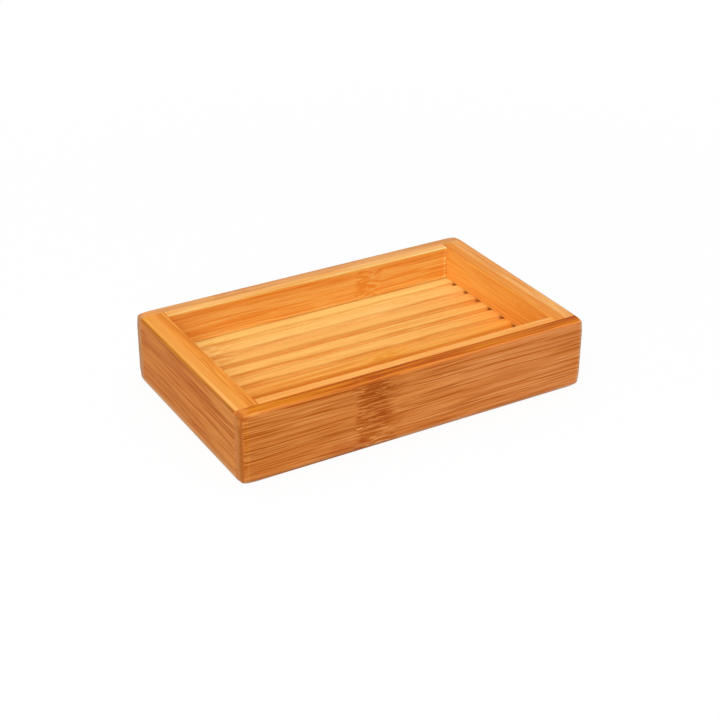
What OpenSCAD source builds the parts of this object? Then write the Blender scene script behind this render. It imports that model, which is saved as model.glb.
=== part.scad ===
// Bamboo soap dish: four two-layer boards, rebated at the corners, round a ribbed floor of four glued strips.
// The origin is the middle of the dish on the surface that it stands on. X runs along the dish, +Y to its back.

/* [Outside of the dish] */
// Length of the dish, end board to end board
dish_l = 130; // [90:1:200]
// Width of the dish, front rail to back rail
dish_w = 80; // [60:1:140]
// Height of the dish
dish_h = 25; // [20:0.5:50]
// Rounding of every outside edge
outer_edge_r = 1.5; // [0.5:0.1:3]

/* [Boards] */
// Thickness of the outer layer of each rail
rail_outer_t = 4.5; // [3.5:0.1:8]
// Thickness of the inner layer of each rail
rail_inner_t = 3.5; // [2.8:0.1:8]
// Thickness of the outer layer of each end board
end_outer_t = 5; // [3.5:0.1:8]
// Thickness of the inner layer of each end board
end_inner_t = 3.8; // [2.8:0.1:8]
// Rounding of the upper edges round the well
well_edge_r = 0.5; // [0.2:0.1:1]

/* [Floor] */
// Height of the rib tops above the surface that the dish stands on
floor_top_z = 12.7; // [9:0.1:16]
// Thickness of the floor at a rib
floor_t = 5; // [3:0.1:7]
// Depth of the housing that the boards hold the floor in
housing_depth = 2.2; // [1:0.1:2.5]
// Clearance between the floor and the bottom of its housing, on each side
housing_end_gap = 0.2; // [0.1:0.05:0.5]
// Clearance above the floor in its housing
housing_top_gap = 0.1; // [0.05:0.05:0.3]

/* [Ribs] */
// Distance from the middle of one groove to the next
rib_pitch = 7.7; // [5:0.1:12]
// How far the ribs lie forward of an even place in the well
ribs_forward = 0.9; // [0:0.1:2]
// Least width of the ribs beside the front and back rails
least_edge_rib = 4; // [3:0.5:8]
// Rounding of the shoulders of a rib
rib_shoulder_r = 0.8; // [0.4:0.1:1.2]
// Width of a groove at its narrow bottom
groove_bottom_w = 0.6; // [0.3:0.1:1.2]

/* [Hidden] */
$fn = 48;

// Overrun of every cut past the face that it opens
cut_over = 1;
strip_count = 4;

well_l = dish_l - 2 * (end_outer_t + end_inner_t);
well_w = dish_w - 2 * (rail_outer_t + rail_inner_t);
// The end boards reach into the rebates, as far as the outer layers of the rails
end_board_w = dish_w - 2 * rail_outer_t;

floor_bottom_z = floor_top_z - floor_t;
housing_top_z = floor_top_z + housing_top_gap;
floor_l = well_l + 2 * (housing_depth - housing_end_gap);
floor_w = well_w + 2 * (housing_depth - housing_end_gap);

groove_count = floor((well_w - 2 * (least_edge_rib + ribs_forward)) / rib_pitch) + 1;
groove_depth = rib_shoulder_r + groove_bottom_w / 2;

// Middle of groove k, where groove 1 is the rearmost
function groove_y(k) = ((groove_count + 1) / 2 - k) * rib_pitch - ribs_forward;

// Glue line behind strip s: the floor's back edge, a groove's middle or the floor's front edge
function strip_joint_y(s) =
    s == 0 ? floor_w / 2
    : s == strip_count ? -floor_w / 2
    : groove_y(ceil(s * (groove_count + 1) / strip_count));

// Box with its middle at x = 0, from y0 to y1 and z0 to z1
module long_box(length, y0, y1, z0, z1) {
    translate([-length / 2, y0, z0])
        cube([length, y1 - y0, z1 - z0]);
}

// Rectangle about the origin with round corners
module round_rectangle(w, h, r) {
    square([w - 2 * r, h], center = true);
    square([w, h - 2 * r], center = true);
    for (x = [-1, 1], y = [-1, 1])
        translate([x * (w / 2 - r), y * (h / 2 - r)])
            circle(r);
}

// Outside of the whole dish: what three rounded profiles, one along each axis, have in common
module dish_envelope() {
    intersection() {
        linear_extrude(height = dish_h)
            round_rectangle(dish_l, dish_w, outer_edge_r);
        translate([0, dish_w / 2, dish_h / 2])
            rotate([90, 0, 0])
                linear_extrude(height = dish_w)
                    round_rectangle(dish_l, dish_h, outer_edge_r);
        translate([-dish_l / 2, 0, dish_h / 2])
            rotate([90, 0, 90])
                linear_extrude(height = dish_l)
                    round_rectangle(dish_w, dish_h, outer_edge_r);
    }
}

// What a quarter round takes off an upper edge of the well: it runs along +X, and the board lies towards +Y
module edge_waste(length) {
    rotate([90, 0, 90])
        translate([0, 0, -length / 2])
            linear_extrude(height = length)
                difference() {
                    translate([-cut_over, -well_edge_r])
                        square([cut_over + well_edge_r, well_edge_r + cut_over]);
                    translate([well_edge_r, -well_edge_r])
                        circle(well_edge_r);
                    translate([well_edge_r, -well_edge_r])
                        square([cut_over, well_edge_r]);
                }
}

// Outer layer of the back rail: full length, with the outside edges and corners rounded
module rail_outer() {
    intersection() {
        long_box(dish_l, dish_w / 2 - rail_outer_t, dish_w / 2, 0, dish_h);
        dish_envelope();
    }
}

// Inner layer of the back rail: it stops at the end boards, and has the floor's housing along it
module rail_inner() {
    difference() {
        long_box(well_l, well_w / 2, dish_w / 2 - rail_outer_t, 0, dish_h);
        long_box(well_l + 2 * cut_over, well_w / 2 - cut_over, well_w / 2 + housing_depth,
            floor_bottom_z, housing_top_z);
        translate([0, well_w / 2, dish_h])
            edge_waste(well_l + 2 * cut_over);
    }
}

// Outer layer of an end board, drawn along X as if it were a rail, with its outside edges rounded
module end_outer() {
    rotate([0, 0, 90])
        intersection() {
            long_box(end_board_w, dish_l / 2 - end_outer_t, dish_l / 2, 0, dish_h);
            rotate([0, 0, -90])
                dish_envelope();
        }
}

// Inner layer of an end board, with the floor's housing along it
module end_inner() {
    rotate([0, 0, 90])
        difference() {
            long_box(end_board_w, well_l / 2, dish_l / 2 - end_outer_t, 0, dish_h);
            long_box(end_board_w + 2 * cut_over, well_l / 2 - cut_over, well_l / 2 + housing_depth,
                floor_bottom_z, housing_top_z);
            translate([0, well_l / 2, dish_h])
                edge_waste(well_w);
        }
}

// Section of a groove, from above the rib tops down to its narrow, round bottom
module groove_section() {
    mouth_w = groove_bottom_w + 2 * rib_shoulder_r;
    difference() {
        translate([-mouth_w / 2, -rib_shoulder_r])
            square([mouth_w, rib_shoulder_r + cut_over]);
        for (side = [-1, 1])
            translate([side * mouth_w / 2, -rib_shoulder_r])
                circle(rib_shoulder_r);
    }
    translate([0, -rib_shoulder_r])
        circle(groove_bottom_w / 2);
}

// Strip s of the floor, where strip 1 is the rearmost, with the grooves that lie in it or beside it
module floor_strip(s) {
    difference() {
        long_box(floor_l, strip_joint_y(s), strip_joint_y(s - 1), floor_bottom_z, floor_top_z);
        for (k = [1 : groove_count])
            if (groove_y(k) <= strip_joint_y(s - 1) && groove_y(k) >= strip_joint_y(s))
                translate([-floor_l / 2 - cut_over, groove_y(k), floor_top_z])
                    rotate([90, 0, 90])
                        linear_extrude(height = floor_l + 2 * cut_over)
                            groove_section();
    }
}

module front_rail_outer() {
    color([0.80, 0.46, 0.20])
        rotate([0, 0, 180])
            rail_outer();
}

module front_rail_inner() {
    color([0.98, 0.71, 0.40])
        rotate([0, 0, 180])
            rail_inner();
}

module back_rail_outer() {
    color([0.86, 0.55, 0.32])
        rail_outer();
}

module back_rail_inner() {
    color([0.97, 0.70, 0.40])
        rail_inner();
}

module left_end_outer() {
    color([0.94, 0.62, 0.30])
        end_outer();
}

module left_end_inner() {
    color([0.91, 0.56, 0.22])
        end_inner();
}

module right_end_outer() {
    color([0.94, 0.63, 0.32])
        rotate([0, 0, 180])
            end_outer();
}

module right_end_inner() {
    color([0.92, 0.57, 0.25])
        rotate([0, 0, 180])
            end_inner();
}

module floor_strip_1() {
    color([0.99, 0.75, 0.42])
        floor_strip(1);
}

module floor_strip_2() {
    color([0.98, 0.70, 0.37])
        floor_strip(2);
}

module floor_strip_3() {
    color([0.98, 0.68, 0.34])
        floor_strip(3);
}

module floor_strip_4() {
    color([0.97, 0.70, 0.36])
        floor_strip(4);
}

front_rail_outer();
front_rail_inner();
back_rail_outer();
back_rail_inner();
left_end_outer();
left_end_inner();
right_end_outer();
right_end_inner();
floor_strip_1();
floor_strip_2();
floor_strip_3();
floor_strip_4();
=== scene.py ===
"""Looks of the bamboo soap dish: an open tray of four two-layer bamboo boards round a ribbed floor.
Metres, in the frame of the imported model: X runs along the dish, Y to its back, and Z up from its foot."""

import bpy
import numpy as np
from mathutils import Matrix, Vector


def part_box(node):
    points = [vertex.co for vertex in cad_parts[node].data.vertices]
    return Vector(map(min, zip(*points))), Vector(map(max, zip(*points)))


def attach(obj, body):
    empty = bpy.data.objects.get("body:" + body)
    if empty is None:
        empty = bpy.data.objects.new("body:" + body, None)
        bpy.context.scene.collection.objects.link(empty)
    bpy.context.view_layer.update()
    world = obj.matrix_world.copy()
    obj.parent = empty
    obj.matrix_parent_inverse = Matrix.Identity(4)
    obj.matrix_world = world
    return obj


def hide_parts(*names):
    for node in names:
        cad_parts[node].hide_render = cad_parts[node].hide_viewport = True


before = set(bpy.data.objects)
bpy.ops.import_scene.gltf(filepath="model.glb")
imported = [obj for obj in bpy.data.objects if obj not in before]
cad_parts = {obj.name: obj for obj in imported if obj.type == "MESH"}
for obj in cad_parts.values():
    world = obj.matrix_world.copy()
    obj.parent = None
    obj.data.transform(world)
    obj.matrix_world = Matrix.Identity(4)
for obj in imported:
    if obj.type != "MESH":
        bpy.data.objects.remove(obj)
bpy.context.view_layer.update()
MM = 0.001

# Floor of the dish: four strips of pale bamboo, glued edge to edge in the middle of a groove.
# Eight round-shouldered grooves are moulded along it, and its edges lie in a housing in the boards.
# Strip 1 is the rearmost. Strips 1 and 3 each have a knuckle of the bamboo culm in them.
groove_count = 8
rib_pitch = 7.7 * MM
ribs_forward = 0.9 * MM
grooves = (np.arange(groove_count) - (groove_count - 1) / 2) * rib_pitch - ribs_forward
shoulder_round = 0.79 * MM
groove_half_width = 0.3 * MM
groove_depth = 1.1 * MM
groove_floor_round = 0.28 * MM
joint_groove_round = 0.2 * MM
crown_sink = 0.3 * MM
crown_reach = 1.7 * MM
glue_ease = 0.04 * MM
# How finely every board is worked out
least_round = 0.02 * MM
station_gap = 1 * MM
point_gap = 1.5 * MM
end_arc_points = 9
corner_arc_points = 7


def drawn_in(distance, radius):
    """How far a face has drawn in at a distance d from the end of a board, while d is below the radius r:
    r - sqrt(r^2 - (r - d)^2)."""
    short = np.clip(radius - distance, 0, radius)
    return radius - np.sqrt(radius ** 2 - short ** 2)


def carried_section(corners, low_end, high_end, along=0, end_rounds=glue_ease):
    """A board's section carried along its grain: a grid of points, which are stations along the board by
    points round the section, and a grid of their normals. Each corner (across, up, radius) is a quarter
    round: its middle lies one radius in from both sides, and the points are
    middle - radius * (cos * normal before + sin * normal after).
    Near an end every side draws in by a quarter round of its own radius, and the corners follow."""
    corners = np.array(corners, float)
    count = len(corners)
    place, radius = corners[:, :2], corners[:, 2]
    side = np.roll(place, -1, axis=0) - place
    side_length = np.linalg.norm(side, axis=1)
    inward = np.stack([-side[:, 1], side[:, 0]], axis=1) / side_length[:, None]
    before = np.roll(inward, 1, axis=0)
    turn = np.sign(before[:, 0] * inward[:, 1] - before[:, 1] * inward[:, 0])
    rounds = np.broadcast_to(np.array(end_rounds, float), count)

    # Stations: close together where the ends are rounded, and evenly spaced between
    quarter = np.linspace(0, np.pi / 2, end_arc_points)
    near = np.unique(np.round(np.outer(np.unique(rounds), 1 - np.cos(quarter)).ravel(), 8))
    plain = np.arange(low_end + near[-1], high_end - near[-1], station_gap)[1:-1]
    station = np.concatenate([low_end + near, plain, high_end - near[::-1]])
    from_low, from_high = (station - low_end)[:, None], (high_end - station)[:, None]
    inset = np.maximum(drawn_in(from_low, rounds), drawn_in(from_high, rounds))
    lean = np.clip(1 - from_high / rounds, 0, 1) - np.clip(1 - from_low / rounds, 0, 1)

    # Corners: the rounds, and how far their normals lean over towards the ends
    rows, facing, leaning = [], [], []
    arc = np.linspace(0, np.pi / 2, corner_arc_points)[None, :, None]
    for k in range(count):
        last = (k - 1) % count
        depth = np.maximum(inset[:, last], inset[:, k])[:, None, None]
        rounding = np.maximum(radius[k] - depth, least_round)
        tip = place[k] + inset[:, last, None] * before[k] + inset[:, k, None] * inward[k]
        toward = np.cos(arc) * before[k] + np.sin(arc) * inward[k]
        middle = tip[:, None] + turn[k] * rounding * (before[k] + inward[k])
        rows.append(middle - turn[k] * rounding * toward)
        facing.append(np.broadcast_to(-toward, rows[-1].shape))
        weight = np.sin(arc[..., 0]) ** 2
        leaning.append(lean[:, last, None] * (1 - weight) + lean[:, k, None] * weight)

    # Sides: evenly spaced points from each corner to the next
    points, normals, tilts = [], [], []
    for k in range(count):
        start, stop = rows[k][:, -1:], rows[(k + 1) % count][:, :1]
        steps = max(int(side_length[k] / point_gap), 1)
        share = np.linspace(0, 1, steps + 1)[1:-1][None, :, None]
        points += [rows[k], start + share * (stop - start)]
        normals += [facing[k], np.broadcast_to(-inward[k], points[-1].shape)]
        tilts += [leaning[k], np.repeat(lean[:, k, None], points[-1].shape[1], axis=1)]
    section = np.concatenate(points, axis=1)
    outward = np.concatenate(normals, axis=1)
    tilt = np.concatenate(tilts, axis=1)
    upright = np.sqrt(1 - tilt ** 2)
    across = 1 - along
    spots = np.empty(section.shape[:2] + (3,))
    spots[..., along] = station[:, None]
    spots[..., across] = section[..., 0]
    spots[..., 2] = section[..., 1]
    facings = np.empty_like(spots)
    facings[..., along] = tilt
    facings[..., across] = upright * outward[..., 0]
    facings[..., 2] = upright * outward[..., 1]
    return spots, facings


def closed_piece(name, spots, normals, along=0):
    """A piece from the two grids: quads between neighbours along and round, and a face over each end."""
    n, m = spots.shape[:2]
    index = np.arange(n * m).reshape(n, m)
    quads = np.stack([index[:-1], np.roll(index[:-1], -1, 1), np.roll(index[1:], -1, 1), index[1:]], -1)
    faces = [*quads.reshape(-1, 4).tolist(), index[0, ::-1].tolist(), index[-1].tolist()]
    if along:
        faces = [face[::-1] for face in faces]
    mesh = bpy.data.meshes.new(name)
    mesh.from_pydata(spots.reshape(-1, 3).tolist(), [], faces)
    mesh.validate()
    mesh.polygons.foreach_set("use_smooth", np.ones(len(mesh.polygons), bool))
    mesh.normals_split_custom_set_from_vertices(normals.reshape(-1, 3).tolist())
    piece = bpy.data.objects.new(name, mesh)
    bpy.context.scene.collection.objects.link(piece)
    return piece


def crown_ribs(spots, normals, foot):
    """Makes the ribs round between their grooves. Every point sinks by
    sink * exp(-(distance to the nearest groove / reach)^2) * (height over the foot / whole height)."""
    off = (spots[..., 1] + ribs_forward) % rib_pitch - rib_pitch / 2
    whole = spots[..., 2].max() - foot
    lift = (spots[..., 2] - foot) / whole
    sunk = crown_sink * np.exp(-(off / crown_reach) ** 2)
    slope = 2 * off / crown_reach ** 2 * sunk * lift
    squeeze = 1 - sunk / whole
    spots[..., 2] -= sunk * lift
    normals[..., 1] -= slope / squeeze * normals[..., 2]
    normals[..., 2] /= squeeze
    normals /= np.linalg.norm(normals, axis=-1, keepdims=True)


def groove_sides(middle, top):
    """The corners of one groove from its back side to its front: rounded shoulders and a round bottom."""
    front, back, bottom = middle - groove_half_width, middle + groove_half_width, top - groove_depth
    return [(back, top, shoulder_round), (back, bottom, groove_floor_round),
            (front, bottom, groove_floor_round), (front, top, shoulder_round)]


def joint_side(joint, inwards, top):
    """The upper corners of a strip from its joint inwards: half a groove, or a plain corner without one."""
    if np.abs(grooves - joint).min() > shoulder_round:
        return [(joint, top, glue_ease)]
    side, bottom = joint + inwards * groove_half_width, top - groove_depth
    return [(joint, bottom, glue_ease / 2), (side, bottom, joint_groove_round), (side, top, shoulder_round)]


def strip_section(low, high):
    """Section of a strip of the floor: under it from front to back, then over its grooves to the front."""
    section = [(low.y, low.z, glue_ease), (high.y, low.z, glue_ease), *joint_side(high.y, -1, high.z)]
    for groove in grooves[::-1]:
        if low.y + shoulder_round < groove < high.y - shoulder_round:
            section += groove_sides(groove, high.z)
    return section + joint_side(low.y, 1, high.z)[::-1]


def add(tree, kind, inputs, **settings):
    """A new node: settings are its own properties, and inputs fill its sockets, also with other outputs."""
    node = tree.nodes.new(kind)
    for key, value in settings.items():
        setattr(node, key, value)
    for key, value in inputs.items():
        if isinstance(value, bpy.types.NodeSocket):
            tree.links.new(value, node.inputs[key])
        else:
            node.inputs[key].default_value = value
    return node


def sums(tree, operation, *terms):
    """One step of arithmetic on numbers or outputs."""
    return add(tree, "ShaderNodeMath", dict(enumerate(terms)), operation=operation).outputs[0]


def vectors(tree, operation, *terms):
    """One step of arithmetic on vectors or outputs."""
    return add(tree, "ShaderNodeVectorMath", dict(enumerate(terms)), operation=operation).outputs[0]


def length_of(tree, vector):
    """The length of a vector."""
    return add(tree, "ShaderNodeVectorMath", {0: vector}, operation="LENGTH").outputs["Value"]


def ramp(tree, value, start, stop, low=0.0, high=1.0):
    """A smooth step of value from low at start to high at stop."""
    ends = {"Value": value, "From Min": start, "From Max": stop, "To Min": low, "To Max": high}
    return add(tree, "ShaderNodeMapRange", ends, interpolation_type="SMOOTHSTEP").outputs[0]


def blend_values(tree, share, first, second):
    """The number first where share is 0, and second where it is 1."""
    return add(tree, "ShaderNodeMix", {0: share, 2: first, 3: second}).outputs[0]


def blend_colours(tree, share, first, second, how="MIX"):
    """The colour first where share is 0, and where it is 1 second, or another blend of the two."""
    colours = {0: share, 6: first, 7: second}
    return add(tree, "ShaderNodeMix", colours, data_type="RGBA", blend_type=how).outputs[2]


def cloud(tree, point, cell, seed, detail=2.0):
    """Noise about 0.5 whose cells have these sizes in millimetres."""
    scaled = vectors(tree, "DIVIDE", point, cell)
    inputs = {"Vector": scaled, "W": seed, "Scale": 1.0, "Detail": detail}
    return add(tree, "ShaderNodeTexNoise", inputs, noise_dimensions="4D")


def screen(red, green, blue):
    """A colour as a screen shows it, 0 to 255, as the linear colour that a shader takes."""
    share = np.array([red, green, blue]) / 255
    linear = np.where(share > 0.04045, ((share + 0.055) / 1.055) ** 2.4, share / 12.92)
    return (*linear.tolist(), 1.0)


def new_group(name, inputs, outputs):
    """An empty node group with its input and output nodes. A socket is a label, a kind, and for some
    inputs the value that holds wherever a material gives none."""
    tree = bpy.data.node_groups.new(name, "ShaderNodeTree")
    kinds = {"vector": "NodeSocketVector", "colour": "NodeSocketColor", "value": "NodeSocketFloat"}
    for label, kind, *usual in inputs:
        socket = tree.interface.new_socket(label, in_out="INPUT", socket_type=kinds[kind])
        if usual:
            socket.default_value = usual[0]
    for label, kind in outputs:
        tree.interface.new_socket(label, in_out="OUTPUT", socket_type=kinds[kind])
    return tree, tree.nodes.new("NodeGroupInput").outputs, tree.nodes.new("NodeGroupOutput").inputs


def bamboo_grain():
    """Fibre of split bamboo along X, in millimetres: long lines with finer ones among them, broad bands,
    and one knuckle, where the lines turn short and wavy behind a sharp edge, in pale and dark streaks that
    are partly its own colour and partly a painted highlight and shade on its relief.
    The colour is Middle, blended to Pale on pale lines and then to Deep on dark ones. The height is
    1 + pale * knuckle - dark * (1 + 1.5 * knuckle)."""
    tree, given, out = new_group(
        "bamboo_grain",
        [("Point", "vector"), ("Seed", "value"),
         ("Deep", "colour"), ("Middle", "colour"), ("Pale", "colour"),
         ("Line Length", "value", 45.0), ("Line Width", "value", 0.85),
         ("Wander", "value", 0.7), ("Contrast", "value", 1.0),
         ("Knuckle Middle", "vector"), ("Knuckle Half", "vector", (1, 1, 1)),
         ("Knuckle Strength", "value"), ("Knuckle Cell", "vector", (8, 0.45, 0.45))],
        [("Colour", "colour"), ("Height", "value")])
    point, seed = given["Point"], given["Seed"]
    length, width = given["Line Length"], given["Line Width"]

    # The knuckle: a sharp start and a slow end along the grain, ragged across it
    ragged = sums(tree, "SUBTRACT", cloud(tree, point, (7, 2, 2), seed).outputs[0], 0.5)
    from_middle = vectors(tree, "SUBTRACT", point, given["Knuckle Middle"])
    local = vectors(tree, "DIVIDE", from_middle, given["Knuckle Half"])
    parts = add(tree, "ShaderNodeSeparateXYZ", {0: local}).outputs
    begun = ramp(tree, sums(tree, "ADD", parts[0], ragged), -1.05, -0.75)
    ended = ramp(tree, sums(tree, "ADD", parts[0], sums(tree, "MULTIPLY", ragged, 2.0)), 0.2, 1.3, 1.0, 0.0)
    apart = length_of(tree, add(tree, "ShaderNodeCombineXYZ", {1: parts[1], 2: parts[2]}).outputs[0])
    beside = ramp(tree, sums(tree, "ADD", apart, ragged), 0.7, 1.2, 1.0, 0.0)
    knuckle = sums(tree, "MULTIPLY", sums(tree, "MULTIPLY", begun, ended),
                   sums(tree, "MULTIPLY", beside, given["Knuckle Strength"]))

    # The fibres drift gently everywhere, and turn wavy in the knuckle
    def shifted(where, cells, amount):
        """Moves a point about by a cloud with these cells, up to half the amount each way."""
        push = vectors(tree, "SUBTRACT", cloud(tree, point, cells, seed).outputs[1], (0.5, 0.5, 0.5))
        push = add(tree, "ShaderNodeVectorMath", {0: push, "Scale": amount}, operation="SCALE").outputs[0]
        return vectors(tree, "ADD", where, push)

    knuckle_cell = given["Knuckle Cell"]
    streak_length = add(tree, "ShaderNodeSeparateXYZ", {0: knuckle_cell}).outputs[0]
    bend = sums(tree, "MULTIPLY", knuckle, sums(tree, "MULTIPLY", streak_length, 0.13))
    fibre_point = shifted(point, (90, 40, 40), sums(tree, "MULTIPLY", given["Wander"], 5.0))
    fibre_point = shifted(fibre_point, (26, 7, 7), given["Wander"])
    fibre_point = shifted(fibre_point, (4.5, 2.2, 2.2), bend)

    # The lines: each kind has cells of its own length and width, and its own seed
    def cell(long_share, wide_share):
        """A cell that many line lengths long and line widths wide."""
        wide = sums(tree, "MULTIPLY", width, wide_share)
        inputs = {0: sums(tree, "MULTIPLY", length, long_share), 1: wide, 2: wide}
        return add(tree, "ShaderNodeCombineXYZ", inputs).outputs[0]

    def fibre_cloud(cells, extra):
        """A cloud along the fibres, with its own seed."""
        return cloud(tree, fibre_point, cells, sums(tree, "ADD", seed, extra), 1.0).outputs[0]

    bands = sums(tree, "SUBTRACT", fibre_cloud(cell(1.5, 6), 0.0), 0.5)
    dark_lines = ramp(tree, fibre_cloud(cell(1, 1), 0.0), 0.50, 0.60)
    fine_lines = ramp(tree, fibre_cloud(cell(0.6, 0.45), 3.0), 0.48, 0.60)
    pale_lines = ramp(tree, fibre_cloud(cell(0.8, 0.8), 6.0), 0.48, 0.62)
    streak = fibre_cloud(knuckle_cell, 9.0)
    broad_dark = sums(tree, "MULTIPLY", dark_lines, 0.65)
    fine_dark = sums(tree, "MULTIPLY", fine_lines, 0.5)
    dark = sums(tree, "ADD", sums(tree, "ADD", broad_dark, fine_dark), bands)
    dark = sums(tree, "MULTIPLY", dark, given["Contrast"])
    pale = sums(tree, "MULTIPLY", pale_lines, given["Contrast"])
    # In the knuckle, dark and pale streaks: partly its own colour, partly painted shade and highlight on
    # its relief
    dark_streaks = ramp(tree, streak, 0.58, 0.44, 0.0, 1.15)
    dark = blend_values(tree, sums(tree, "MULTIPLY", knuckle, 0.85), dark, dark_streaks)
    pale = blend_values(tree, knuckle, pale, ramp(tree, streak, 0.52, 0.62))
    colour = blend_colours(tree, pale, given["Middle"], given["Pale"])
    raised = sums(tree, "ADD", 1.0, sums(tree, "MULTIPLY", pale, knuckle))
    sunken = sums(tree, "MULTIPLY", dark, sums(tree, "ADD", 1.0, sums(tree, "MULTIPLY", knuckle, 1.5)))
    tree.links.new(blend_colours(tree, dark, colour, given["Deep"]), out["Colour"])
    tree.links.new(sums(tree, "SUBTRACT", raised, sunken), out["Height"])
    return tree


def colour_patch():
    """A soft patch of another tone. Its mask falls from Share to 0 where the length of
    (Point - Middle) / Half, made uneven by Ragged times noise, goes from 1 - Soft to 1 + Soft.
    The tint multiplies the colour, or where Replaced is 1 takes its place."""
    tree, given, out = new_group(
        "colour_patch",
        [("Colour", "colour"), ("Point", "vector"), ("Middle", "vector"), ("Half", "vector"),
         ("Tint", "colour"), ("Soft", "value"), ("Share", "value"), ("Replaced", "value"),
         ("Ragged", "value")],
        [("Colour", "colour")])
    from_middle = vectors(tree, "SUBTRACT", given["Point"], given["Middle"])
    away = length_of(tree, vectors(tree, "DIVIDE", from_middle, given["Half"]))
    uneven = sums(tree, "SUBTRACT", cloud(tree, given["Point"], (6, 2, 2), 5.0).outputs[0], 0.5)
    away = sums(tree, "ADD", away, sums(tree, "MULTIPLY", uneven, given["Ragged"]))
    full, gone = sums(tree, "SUBTRACT", 1.0, given["Soft"]), sums(tree, "ADD", 1.0, given["Soft"])
    mask = ramp(tree, away, full, gone, given["Share"], 0.0)
    tinted = blend_colours(tree, 1.0, given["Colour"], given["Tint"], "MULTIPLY")
    goal = blend_colours(tree, given["Replaced"], tinted, given["Tint"])
    tree.links.new(blend_colours(tree, mask, given["Colour"], goal), out["Colour"])
    return tree


def groove_shade():
    """Masks of painted shade in the floor's grooves, in millimetres, by the signed distance from the
    nearest groove, which is Y wrapped into one pitch. The groove's painted shade rises slowly over the back
    of the rib in front of a groove, is darkest on the shoulder of the rib behind it, and falls off up that
    rib. The mouth mask paints darker shade at a groove's end."""
    tree, given, out = new_group(
        "groove_shade",
        [("Point", "vector"), ("Half Pitch", "value"), ("Forward", "value"), ("Rib Top", "value"),
         ("Well End", "value")],
        [("Groove Shade", "value"), ("Mouth Shade", "value")])
    parts = add(tree, "ShaderNodeSeparateXYZ", {0: given["Point"]}).outputs
    half_pitch = given["Half Pitch"]
    offset = sums(tree, "ADD", parts[1], sums(tree, "SUBTRACT", given["Forward"], half_pitch))
    signed = sums(tree, "WRAP", offset, half_pitch, sums(tree, "MULTIPLY", half_pitch, -1.0))
    uneven = sums(tree, "SUBTRACT", cloud(tree, given["Point"], (14, 8, 8), 3.0).outputs[0], 0.5)
    signed_there = sums(tree, "ADD", signed, uneven)
    rib_back = ramp(tree, signed_there, -2.2, -0.4, 0.0, 0.12)
    shoulder = ramp(tree, signed_there, 0.3, 0.9, 0.0, 0.88)
    rib_front = ramp(tree, signed_there, 1.0, 2.35, 1.0, 0.0)
    patchy = ramp(tree, cloud(tree, given["Point"], (22, 5, 5), 8.0).outputs[0], 0.35, 0.65, 0.7, 1.2)
    low = ramp(tree, sums(tree, "SUBTRACT", parts[2], given["Rib Top"]), 0.1, -0.03)
    shade = sums(tree, "MULTIPLY", sums(tree, "ADD", rib_back, shoulder), rib_front)
    shade = sums(tree, "MULTIPLY", sums(tree, "MULTIPLY", shade, patchy), low)
    from_end = sums(tree, "SUBTRACT", sums(tree, "ABSOLUTE", parts[0]), given["Well End"])
    # Darker painted shade at the ends of the grooves, beside the boards
    mouth = sums(tree, "MULTIPLY", ramp(tree, sums(tree, "ABSOLUTE", signed), 1.25, 0.75),
                 ramp(tree, from_end, -1.4, -0.4))
    tree.links.new(shade, out["Groove Shade"])
    tree.links.new(mouth, out["Mouth Shade"])
    return tree


grain_tree = bamboo_grain()
patch_tree = colour_patch()
groove_tree = groove_shade()
mm_per_metre = 1 / MM


def bamboo(name, along=0, **grain):
    """Begins a finish of bamboo, which is worked out in millimetres: its material, the place on the dish,
    and the grain's colour and height. The grain's values go by its sockets' names, as line_width does."""
    material = bpy.data.materials.new(name)
    material.use_nodes = True
    tree = material.node_tree
    tree.nodes.clear()
    spot = add(tree, "ShaderNodeTexCoord", {}).outputs["Object"]
    place = add(tree, "ShaderNodeMapping", {"Vector": spot, "Scale": (mm_per_metre,) * 3}).outputs[0]
    turned = (0, 0, -np.pi / 2 * along)
    point = add(tree, "ShaderNodeMapping", {"Vector": place, "Rotation": turned}).outputs[0]
    values = {key.replace("_", " ").title(): value for key, value in grain.items()}
    fibre = add(tree, "ShaderNodeGroup", {"Point": point, **values}, node_tree=grain_tree).outputs
    return material, place, fibre["Colour"], fibre["Height"]


def patch(middle, half, tint, soft, share=1.0, replaced=0.0, ragged=0.0):
    """Values of one soft patch of another tone, with its middle and half sizes in millimetres."""
    return {"Middle": middle, "Half": half, "Tint": (*tint[:3], 1), "Soft": soft, "Share": share,
            "Replaced": replaced, "Ragged": ragged}


def patched(tree, place, colour, patches):
    """The colour with these patches laid over it, one after another."""
    for values in patches:
        inputs = {"Colour": colour, "Point": place, **values}
        colour = add(tree, "ShaderNodeGroup", inputs, node_tree=patch_tree).outputs["Colour"]
    return colour


def shaded_grooves(tree, place, colour, groove_shade_share, rib_top):
    """The colour of the floor with painted shade over its grooves, and darker painted shade at their
    mouths.
    """
    inputs = {"Point": place, "Half Pitch": rib_pitch / 2 / MM, "Forward": ribs_forward / MM,
              "Rib Top": rib_top / MM, "Well End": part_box("right_end_inner")[0].x / MM}
    masks = add(tree, "ShaderNodeGroup", inputs, node_tree=groove_tree).outputs
    colour = blend_colours(tree, sums(tree, "MULTIPLY", masks["Groove Shade"], groove_shade_share), colour, groove_shade_tone)
    return blend_colours(tree, sums(tree, "MULTIPLY", masks["Mouth Shade"], mouth_shade_share), colour, mouth_shade_tone)


def lacquered(material, colour, height):
    """Ends a finish: satin clear lacquer over this colour, with the fibres just felt through it."""
    tree = material.node_tree
    gloss = ramp(tree, height, 0.0, 1.0, 0.52, 0.40)
    bump = add(tree, "ShaderNodeBump", {"Height": height, "Strength": 0.4, "Distance": 0.06 * MM})
    shader = add(tree, "ShaderNodeBsdfPrincipled", {
        "Base Color": colour, "Roughness": gloss, "Normal": bump.outputs[0], "Specular IOR Level": 0.07})
    add(tree, "ShaderNodeOutputMaterial", {"Surface": shader.outputs[0]})


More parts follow.
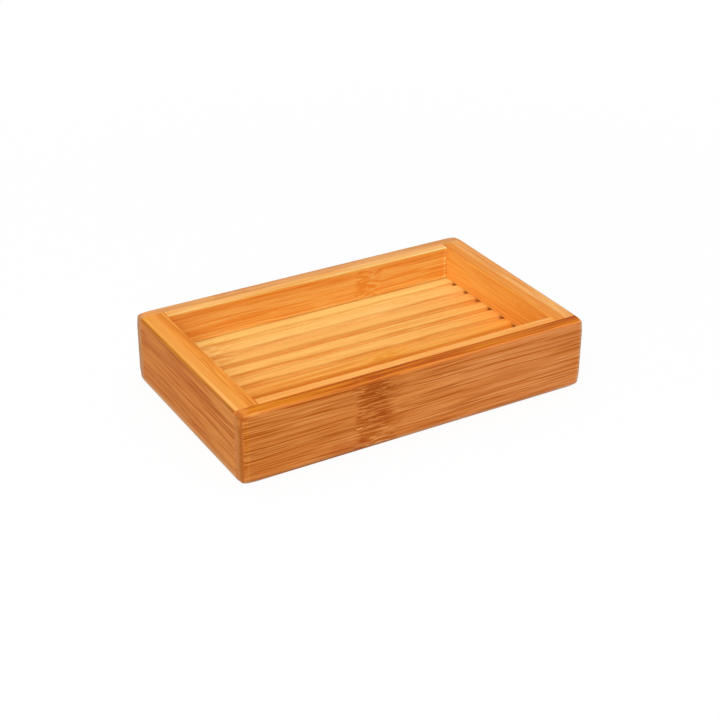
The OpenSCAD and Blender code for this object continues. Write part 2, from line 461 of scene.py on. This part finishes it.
def fit(piece, node, material):
    """The piece stands for its CAD node and rides on the dish."""
    piece.data.materials.append(material)
    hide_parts(node)
    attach(piece, "root")


# Painted shade laid over the grooves, and darker painted shade over their mouths
groove_shade_tone = screen(212, 124, 36)
mouth_shade_tone = screen(178, 98, 36)
mouth_shade_share = 0.85
# Half size of a patch that reaches right through the dish
everywhere = 500
strip_looks = {
    "floor_strip_1": dict(
        grain=dict(seed=1.0, middle=screen(254, 201, 117), pale=screen(255, 210, 132),
                   deep=screen(242, 174, 86), line_width=0.75, contrast=0.6,
                   knuckle_middle=(-41.4, 20.9, 12.7), knuckle_half=(5.5, 9, 9), knuckle_strength=0.8,
                   knuckle_cell=(5.0, 0.5, 0.5)),
        groove_shade_share=0.6,
        # Painted light towards the back rail, browner in front, and painted shade on the shoulder behind a
        # groove
        patches=[
            patch((0, 33.1, 12.7), (everywhere, 8, everywhere), (1.0, 1.18, 1.2), soft=0.6, ragged=0.1),
            patch((0, 10.6, 12.7), (everywhere, 6.8, everywhere), (0.97, 0.85, 0.70),
                  soft=0.12, ragged=0.1),
            patch((0, 11.5, 12.7), (everywhere, 0.9, 1.5), (0.93, 0.86, 0.8), soft=0.5, ragged=0.3)]),
    "floor_strip_2": dict(
        grain=dict(seed=2.3, middle=screen(254, 187, 96), pale=screen(255, 202, 114),
                   deep=screen(238, 158, 66), line_width=0.75, contrast=0.8),
        groove_shade_share=0.75),
    "floor_strip_3": dict(
        grain=dict(seed=3.1, middle=screen(252, 175, 78), pale=screen(255, 191, 97),
                   deep=screen(230, 143, 48), line_width=0.75, contrast=0.8,
                   knuckle_middle=(6.6, -9.3, 12.7), knuckle_half=(8, 3.2, 9), knuckle_strength=0.7,
                   knuckle_cell=(5.5, 0.5, 0.5)),
        groove_shade_share=0.75,
        # A browner knuckle, and painted shade on the shoulder behind a groove near the front rail
        patches=[
            patch((6.6, -9.3, 12.7), (9, 4, 9), (0.99, 0.97, 0.78), soft=0.4, share=0.9, ragged=1.0),
            patch((0, -11.9, 12.2), (everywhere, 1.2, 2), (0.90, 0.76, 0.52), soft=0.5, ragged=0.4)]),
    "floor_strip_4": dict(
        grain=dict(seed=4.7, middle=screen(251, 176, 82), pale=screen(255, 190, 98),
                   deep=screen(228, 142, 52), line_width=0.75, contrast=0.8),
        groove_shade_share=0.75),
}
for name, look in strip_looks.items():
    low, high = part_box(name)
    spots, normals = carried_section(strip_section(low, high), low.x, high.x)
    crown_ribs(spots, normals, low.z)
    piece = closed_piece(name + "_moulded", spots, normals)
    material, place, colour, height = bamboo(name.replace("floor_", "pale_floor_"), **look["grain"])
    tree = material.node_tree
    colour = patched(tree, place, colour, look.get("patches", []))
    colour = shaded_grooves(tree, place, colour, look["groove_shade_share"], high.z)
    lacquered(material, colour, height)
    fit(piece, name, material)

# Inner layers of the four boards: pale bamboo, planed flat, with the housing for the floor cut along them.
# The rails' layers stop at the end boards; the end boards' layers run on into the rebates beside them.
# Their upper edges round the well are eased by hand.
well_ease = 0.5 * MM
housing_depth = 2.2 * MM
housing_clearance = 0.03 * MM


def housed_section(face, back, low, top):
    """Section of an inner layer, from its face in the well to its glued back, with the floor's housing."""
    floor_low, floor_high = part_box("floor_strip_1")
    deep = face + np.sign(back - face) * housing_depth
    housing_low, housing_high = floor_low.z, floor_high.z + housing_clearance
    corners = [(face, low, glue_ease), (back, low, glue_ease), (back, top, glue_ease),
               (face, top, well_ease), (face, housing_high, glue_ease), (deep, housing_high, glue_ease),
               (deep, housing_low, glue_ease), (face, housing_low, glue_ease)]
    return corners if back > face else corners[::-1]


inner_looks = {
    "front_rail_inner": dict(
        grain=dict(seed=11.0, middle=screen(253, 175, 88), pale=screen(255, 188, 104),
                   deep=screen(240, 152, 62), line_width=0.7, contrast=0.95),
        # Painted shade along the upper edge of the well
        patches=[
            patch((0, -32, 24.8), (everywhere, 0.4, 0.5), (0.82, 0.64, 0.4), soft=0.4, ragged=0.3)]),
    "back_rail_inner": dict(
        grain=dict(seed=12.0, middle=screen(254, 191, 110), pale=screen(255, 204, 130),
                   deep=screen(240, 156, 68), line_width=0.7, contrast=1.2, knuckle_middle=(22.5, 32, 17.5),
                   knuckle_half=(6, 6, 6), knuckle_strength=0.95, knuckle_cell=(3.8, 0.6, 0.6)),
        # Painted warm light from the floor over the face in the well; its upper edge, the band under that
        # edge, painted light from the floor at its foot, its paler right end, and a pale strip and the glue
        # line in the corner
        patches=[
            patch((0, 31.9, 12.5), (everywhere, 0.3, everywhere), (0.98, 0.92, 0.66), soft=0.3),
            patch((0, 32.4, 25), (everywhere, 0.4, 0.6), (1.02, 1.38, 1.75),
                  soft=0.3, share=0.9, ragged=0.6),
            patch((0, 32, 24.0), (everywhere, 0.6, 1.8), (0.94, 0.78, 0.6),
                  soft=0.35, share=0.9, ragged=0.5),
            patch((0, 32, 12.6), (everywhere, 0.6, 1.6), (1.03, 1.16, 1.4), soft=0.6, ragged=0.2),
            patch((50.2, 32, 17.4), (8, 0.6, 8), (0.97, 1.08, 1.15), soft=0.6, ragged=0.6),
            patch((56.1, 32, 18.4), (1.4, 0.6, 8), (1.03, 1.4, 2.0), soft=0.15, share=0.75, ragged=0.1),
            patch((56.25, 32, 18.4), (0.35, 0.6, 9), (0.8, 0.6, 0.3), soft=0.4, share=0.6, ragged=1.6)]),
    "left_end_inner": dict(
        grain=dict(seed=13.0, middle=screen(242, 152, 50), pale=screen(248, 164, 62),
                   deep=screen(220, 124, 32), line_width=0.7, contrast=1.1)),
    "right_end_inner": dict(
        grain=dict(seed=14.0, middle=screen(242, 153, 58), pale=screen(248, 166, 72),
                   deep=screen(226, 128, 42), line_width=0.7, contrast=0.85),
        # Painted light over the face in the well, paler towards the back and darker high up in front
        patches=[
            patch((56.2, 0, 12.5), (0.1, everywhere, everywhere), (1.12, 1.46, 1.8), soft=0.3),
            patch((56.2, 22, 18.4), (0.3, 20, 9), (1.02, 1.08, 1.25), soft=0.6, ragged=0.5),
            patch((56.2, -28, 21), (0.3, 16, 2.5), (0.94, 0.8, 0.66), soft=0.5, share=0.8, ragged=1.0)]),
}
for name, look in inner_looks.items():
    low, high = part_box(name)
    along = 1 if "end" in name else 0
    across = 1 - along
    face, glued = sorted((low[across], high[across]), key=abs)
    section = housed_section(face, glued, low.z, high.z)
    spots, normals = carried_section(section, low[along], high[along], along)
    piece = closed_piece(name + "_planed", spots, normals, along)
    material, place, colour, height = bamboo(name.replace("_inner", "_light_layer"), along, **look["grain"])
    colour = patched(material.node_tree, place, colour, look.get("patches", []))
    lacquered(material, colour, height)
    fit(piece, name, material)

# Outer layers of the four boards: the hard outer wood of the culm, darker than the inside and planed.
# The rails' layers run the full length of the dish and close the rebates; the end boards' lie between them.
# Every outside edge of the dish is rounded on the finished box, which leaves dark end grain at the corners.
edge_round = 1.2 * MM
upright_round = 1.7 * MM
corner_worn = 0.5 * MM
corner_reach = 2.6 * MM
# Half the dish's length, width and height, in millimetres
dish_half = np.array([65, 40, 12.5])


def outer_section(glued, outside, low, top):
    """Section of an outer layer: two glued corners, and two outside ones that are rounded."""
    corners = [(glued, low, glue_ease), (outside, low, edge_round), (outside, top, edge_round),
               (glued, top, glue_ease)]
    return corners if outside > glued else corners[::-1]


def rail_end_rounds(section, outside):
    """How each side of a rail's section is rounded at the rail's ends: the outside face as an upright
    corner of the dish, those below and above as its other edges, and the glued one hardly at all."""
    rounds = []
    for (across, up, _), (next_across, next_up, _) in zip(section, section[1:] + section[:1]):
        if across == next_across == outside:
            rounds.append(upright_round)
        elif up == next_up:
            rounds.append(edge_round)
        else:
            rounds.append(glue_ease)
    return rounds


def rub_corners(spots, normals):
    """Wears the eight corners of the dish. Every point moves in along the diagonal of the nearest corner,
    by worn * exp(-(distance to the corner / reach)^2)."""
    half = dish_half * MM
    middle = np.array([0, 0, half[2]])
    outwards = np.sign(spots - middle) / 3 ** 0.5
    from_corner = spots - middle - outwards * 3 ** 0.5 * half
    fall = np.exp(-(from_corner ** 2).sum(axis=-1, keepdims=True) / corner_reach ** 2)
    slope = -2 * fall * from_corner / corner_reach ** 2
    along_normal = (outwards * normals).sum(axis=-1, keepdims=True)
    squeeze = 1 - corner_worn * (outwards * slope).sum(axis=-1, keepdims=True)
    spots -= corner_worn * fall * outwards
    normals += corner_worn * slope * along_normal / squeeze
    normals /= np.linalg.norm(normals, axis=-1, keepdims=True)


def dish_edges():
    """Masks of the edges of a box about the middle of the dish, in millimetres. An edge is where the second
    smallest of the three distances to the faces is small; an upright is where both level ones are."""
    tree, given, out = new_group(
        "dish_edges",
        [("Point", "vector"), ("Half", "vector"), ("Band", "value"), ("Upright Band", "value"),
         ("Seed", "value")],
        [("Edge", "value"), ("Upright", "value")])
    point, seed, wide = given["Point"], given["Seed"], given["Upright Band"]
    inward = vectors(tree, "SUBTRACT", given["Half"], vectors(tree, "ABSOLUTE", point))
    parts = add(tree, "ShaderNodeSeparateXYZ", {0: inward}).outputs
    level_near = sums(tree, "MINIMUM", parts[0], parts[1])
    level_far = sums(tree, "MAXIMUM", parts[0], parts[1])
    second = sums(tree, "MAXIMUM", level_near, sums(tree, "MINIMUM", level_far, parts[2]))
    uneven = sums(tree, "MULTIPLY", cloud(tree, point, (9, 9, 9), seed).outputs[0], 0.9)
    band = sums(tree, "MULTIPLY", sums(tree, "ADD", uneven, 0.55), given["Band"])
    rough = sums(tree, "SUBTRACT", cloud(tree, point, (0.8, 0.8, 1.6), seed).outputs[0], 0.5)
    level_far = sums(tree, "ADD", level_far, sums(tree, "MULTIPLY", rough, 1.2))
    edge = ramp(tree, second, sums(tree, "MULTIPLY", band, 0.5), band, 1.0, 0.0)
    full, gone = sums(tree, "MULTIPLY", wide, 0.6), sums(tree, "MULTIPLY", wide, 1.3)
    upright = ramp(tree, level_far, full, gone, 1.0, 0.0)
    tree.links.new(edge, out["Edge"])
    tree.links.new(upright, out["Upright"])
    return tree


edge_tree = dish_edges()
upright_share = 0.74


def darkened_edges(tree, place, colour, seed, tone, share, band, upright_tone=None, upright_band=1.5):
    """The colour with a darker tone over the dish's outside edges, and end grain's on its uprights."""
    centred = vectors(tree, "SUBTRACT", place, (0, 0, dish_half[2]))
    inputs = {"Point": centred, "Half": dish_half, "Band": band, "Upright Band": upright_band, "Seed": seed}
    masks = add(tree, "ShaderNodeGroup", inputs, node_tree=edge_tree).outputs
    colour = blend_colours(tree, sums(tree, "MULTIPLY", masks["Edge"], share), colour, tone)
    if upright_tone:
        upright = sums(tree, "MULTIPLY", masks["Upright"], upright_share)
        colour = blend_colours(tree, upright, colour, upright_tone)
    return colour


# The shade along the foot of a board for which nothing else is given
foot_shade = patch((0, 0, 0), (everywhere, everywhere, 1.0), (0.72, 0.80, 1.1),
                   soft=0.4, share=0.9, ragged=0.3)
outer_looks = {
    "front_rail_outer": dict(
        grain=dict(seed=21.0, middle=screen(242, 146, 66), pale=screen(255, 168, 88),
                   deep=screen(200, 100, 24), line_width=0.72, contrast=1.0,
                   knuckle_middle=(-16.5, -40, 12), knuckle_half=(8.5, 9, 15), knuckle_strength=0.9),
        # The face, paler to the right; painted shade dimming the right part of its upper edge; the
        # knuckle's dark heart, top and foot; the top face, its glue line, a streak and its paler left part;
        # the left corner, a pale spot and a pale line beside it; and the two end faces
        patches=[
            patch((65, -40, 12.5), (66, 1.5, everywhere), (1.10, 1.14, 1.46), soft=0.8),
            patch((45, -39.6, 24.6), (36, 0.7, 0.7), (0.88, 0.80, 0.84), soft=0.4, ragged=0.4),
            patch((-17, -40, 12.5), (5.5, 2, 5), (0.84, 0.70, 0.56), soft=0.45, ragged=1.5),
            patch((-15, -40, 21), (8, 2, 4.5), (0.84, 0.76, 0.64), soft=0.5, ragged=1.5),
            patch((-27, -40, 3), (7, 2, 2.5), (0.9, 0.78, 0.8), soft=0.5, ragged=1.5),
            patch((0, -37, 25), (everywhere, 2.5, 0.6), (0.74, 0.57, 0.03), soft=0.06, ragged=0.15),
            patch((0, -35.6, 25), (everywhere, 0.75, 0.6), (0.87, 0.76, 0.6), soft=0.4, ragged=0.8),
            patch((10, -37.4, 25), (16, 0.5, 0.6), (0.92, 0.83, 0.6), soft=0.5, share=0.9, ragged=1.5),
            patch((-50, -37, 25), (24, 2.5, 0.6), (1.14, 1.36, 2.0), soft=0.5, share=0.9, ragged=1.5),
            patch((-65, -37, 25), (3.6, 4, 0.8), screen(232, 142, 60),
                  soft=0.4, share=0.75, replaced=1, ragged=0.3),
            patch((-60.0, -39.65, 24.65), (2.2, 0.45, 0.45), screen(255, 182, 100),
                  soft=0.4, share=0.8, replaced=1, ragged=0.2),
            patch((-62.6, -40, 12.5), (0.5, 2, 12), (1.1, 1.25, 1.1), soft=0.4, share=0.7, ragged=0.3),
            patch((65, -38, 12.5), (0.7, everywhere, everywhere), screen(236, 148, 70),
                  soft=0.2, share=0.55, replaced=1),
            patch((-65, -38, 12.5), (0.7, everywhere, everywhere), screen(228, 142, 64),
                  soft=0.2, share=0.55, replaced=1)],
        edges=dict(tone=screen(232, 136, 50), share=0.45, band=0.9, upright_tone=screen(194, 106, 42),
                   upright_band=1.0),
        # The worn left corner and the lines beside its upright; the top and the upright at the right end;
        # and light from the table along the foot
        last_patches=[
            patch((-64.3, -38.4, 24.6), (1.0, 2.4, 1.5), screen(190, 101, 34),
                  soft=0.5, share=0.8, replaced=1, ragged=0.4),
            patch((-65, -38.8, 12), (0.6, 1.1, 11), (0.84, 0.81, 0.72), soft=0.35, ragged=0.2),
            patch((-62.9, -40, 16), (0.8, 0.8, 5), (0.96, 0.86, 0.5), soft=0.5, share=0.9, ragged=0.5),
            patch((60, -38.9, 25), (9, 1.0, 0.7), (1.3, 1.6, 2.2), soft=0.5, share=0.8, ragged=0.3),
            patch((65, -40, 12.5), (1.5, 1.5, everywhere), (1.14, 1.9, 4.2),
                  soft=0.5, share=0.85, ragged=0.2),
            patch((0, 0, 0), (everywhere, everywhere, 1.5), (0.86, 1.15, 2.2),
                  soft=0.4, share=0.95, ragged=0.3)]),
    "back_rail_outer": dict(
        grain=dict(seed=22.0, middle=screen(234, 163, 93), pale=screen(243, 177, 107),
                   deep=screen(214, 134, 70), knuckle_middle=(-30, 40, 12), knuckle_half=(8, 9, 15),
                   knuckle_strength=0.9),
        # The two end faces, and the top of the left corner
        patches=[
            patch((65, 38, 12.5), (0.7, everywhere, everywhere), screen(236, 148, 70),
                  soft=0.2, share=0.55, replaced=1),
            patch((-65, 38, 12.5), (0.7, everywhere, everywhere), screen(216, 150, 98),
                  soft=0.2, share=0.55, replaced=1),
            patch((-65, 36, 25), (7, 3, 0.8), screen(242, 158, 78),
                  soft=0.4, share=0.7, replaced=1, ragged=0.3)],
        edges=dict(tone=screen(200, 142, 84), share=0.8, band=1.7, upright_tone=screen(166, 102, 60),
                   upright_band=2.0)),
    "left_end_outer": dict(
        grain=dict(seed=23.0, middle=screen(250, 159, 64), pale=screen(255, 171, 77),
                   deep=screen(212, 112, 28), line_width=0.75),
        # The top face, a darker band below its edge, and a browner back half
        patches=[
            patch((-62.3, 0, 25), (2.5, everywhere, 0.6), screen(244, 160, 66),
                  soft=0.1, share=0.85, replaced=1, ragged=0.1),
            patch((-65, 0, 22), (2, everywhere, 4.5), (0.96, 0.92, 0.82), soft=0.6, ragged=1.0),
            patch((-65, 40, 12.5), (2, 60, everywhere), (0.93, 0.81, 0.44), soft=0.7, ragged=0.2)],
        # Painted shade on the upper edge's outer half, a painted highlight along a line inside it,
        # and light from the table along the foot
        last_patches=[
            patch((-65, 0, 24.5), (0.85, everywhere, 0.6), (0.70, 0.68, 0.78), soft=0.25, ragged=0.2),
            patch((-63.75, 0, 25), (0.65, everywhere, 0.3), (1.10, 1.40, 2.4), soft=0.45, ragged=0.3),
            patch((0, 0, 0), (everywhere, everywhere, 2.0), screen(237, 186, 133),
                  soft=0.8, share=0.75, replaced=1, ragged=0.5)]),
    "right_end_outer": dict(
        grain=dict(seed=24.0, middle=screen(248, 175, 96), pale=screen(253, 187, 108),
                   deep=screen(226, 138, 60)),
        edges=dict(tone=screen(206, 146, 88), share=0.7, band=1.5)),
}
for name, look in outer_looks.items():
    low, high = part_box(name)
    along = 1 if "end" in name else 0
    across = 1 - along
    glued, outside = sorted((low[across], high[across]), key=abs)
    section = outer_section(glued, outside, low.z, high.z)
    rounds = glue_ease if along else rail_end_rounds(section, outside)
    spots, normals = carried_section(section, low[along], high[along], along, rounds)
    rub_corners(spots, normals)
    piece = closed_piece(name + "_rounded", spots, normals, along)
    grain = look["grain"]
    material, place, colour, height = bamboo(name.replace("_outer", "_hard_layer"), along, **grain)
    tree = material.node_tree
    colour = patched(tree, place, colour, look.get("patches", []))
    if "edges" in look:
        colour = darkened_edges(tree, place, colour, grain["seed"], **look["edges"])
    colour = patched(tree, place, colour, look.get("last_patches", [foot_shade]))
    lacquered(material, colour, height)
    fit(piece, name, material)

# Studio: a pale floor that stays white for the camera but keeps the dish's soft shadow, a soft lamp above
# and one in front on the left, and an even sky. The camera stands where the photograph was taken from.
studio_radius = 12
rim_points = 96
angle = np.linspace(0, 2 * np.pi, rim_points + 1)[:-1]
rim = np.stack([np.cos(angle), np.sin(angle), 0 * angle], axis=1) * studio_radius
floor_mesh = bpy.data.meshes.new("studio_floor")
floor_mesh.from_pydata(rim.tolist(), [], [list(range(rim_points))])
studio_floor = bpy.data.objects.new("studio_floor", floor_mesh)
bpy.context.scene.collection.objects.link(studio_floor)


def seen_rays(tree):
    """1 for rays that the camera sees, straight or in a shine, and 0 for those that only carry light."""
    paths = add(tree, "ShaderNodeLightPath", {}).outputs
    passed = sums(tree, "MAXIMUM", paths["Is Glossy Ray"], paths["Is Transmission Ray"])
    return sums(tree, "MAXIMUM", paths["Is Camera Ray"], passed)


# The floor glows white for the camera, a little less near the dish, where its lit paper shows the shadow
white = (1, 1, 1, 1)
grey_paper = (0.45, 0.45, 0.45, 1)
shadow_reach, white_from = 0.12, 0.45
glow_by_dish = 0.93
paper = bpy.data.materials.new("studio_white")
paper.use_nodes = True
tree = paper.node_tree
tree.nodes.clear()
seen = seen_rays(tree)
distance = length_of(tree, add(tree, "ShaderNodeTexCoord", {}).outputs["Object"])
share = sums(tree, "MULTIPLY", seen, ramp(tree, distance, shadow_reach, white_from, glow_by_dish, 1.0))
lit = add(tree, "ShaderNodeBsdfDiffuse", {"Color": blend_colours(tree, seen, grey_paper, white)}).outputs[0]
glow = add(tree, "ShaderNodeEmission", {"Color": white, "Strength": 1.0}).outputs[0]
mixed = add(tree, "ShaderNodeMixShader", {0: share, 1: lit, 2: glow}).outputs[0]
under = add(tree, "ShaderNodeNewGeometry", {}).outputs["Backfacing"]
clear = add(tree, "ShaderNodeBsdfTransparent", {}).outputs[0]
both = add(tree, "ShaderNodeMixShader", {0: under, 1: mixed, 2: clear}).outputs[0]
add(tree, "ShaderNodeOutputMaterial", {"Surface": both})
floor_mesh.materials.append(paper)

# The sky is white for the camera, and lights the dish with less than half of that
sky_light = 0.45
sky = bpy.data.worlds.new("studio_sky")
sky.use_nodes = True
bpy.context.scene.world = sky
tree = sky.node_tree
tree.nodes.clear()
strength = sums(tree, "ADD", sums(tree, "MULTIPLY", seen_rays(tree), 1 - sky_light), sky_light)
light = add(tree, "ShaderNodeBackground", {"Color": white, "Strength": strength}).outputs[0]
add(tree, "ShaderNodeOutputWorld", {"Surface": light})


def soft_lamp(name, place, watts, size=0.8):
    """A square lamp that faces the middle of the dish."""
    lamp = bpy.data.lights.new(name, "AREA")
    lamp.shape = "SQUARE"
    lamp.size = size
    lamp.energy = watts
    holder = bpy.data.objects.new(name, lamp)
    holder.location = place
    holder.rotation_mode = "QUATERNION"
    holder.rotation_quaternion = (-Vector(place)).to_track_quat("-Z", "Y")
    bpy.context.scene.collection.objects.link(holder)


soft_lamp("overhead_lamp", (-0.05, 0.05, 1.0), 3.4)
soft_lamp("front_left_lamp", (-0.62, -0.74, 0.75), 6.4)

# The camera: its angles about the dish, and where the eye is, seen from the middle of the dish
turn_left, tilt_down, roll = np.radians([30.315, 28.761, 0.289])
eye_distance, eye_right, eye_up = 0.549910, 0.000298, -0.003791
level_back = Vector((-np.sin(turn_left), -np.cos(turn_left), 0))
back = level_back * np.cos(tilt_down) + Vector((0, 0, np.sin(tilt_down)))
level = Vector((np.cos(turn_left), -np.sin(turn_left), 0))
right = level * np.cos(roll) + back.cross(level) * np.sin(roll)
up = back.cross(right)
camera = bpy.data.objects.new("camera", bpy.data.cameras.new("camera"))
camera.data.sensor_width = 36
camera.data.lens = 80.211
camera.data.clip_start = 0.01
camera.data.clip_end = 100
dish_middle = Vector((0, 0, dish_half[2] * MM))
camera.location = dish_middle + back * eye_distance + right * eye_right + up * eye_up
camera.rotation_mode = "QUATERNION"
camera.rotation_quaternion = Matrix((right, up, back)).transposed().to_quaternion()
bpy.context.scene.collection.objects.link(camera)
bpy.context.scene.camera = camera
bpy.context.scene.view_settings.view_transform = "Standard"
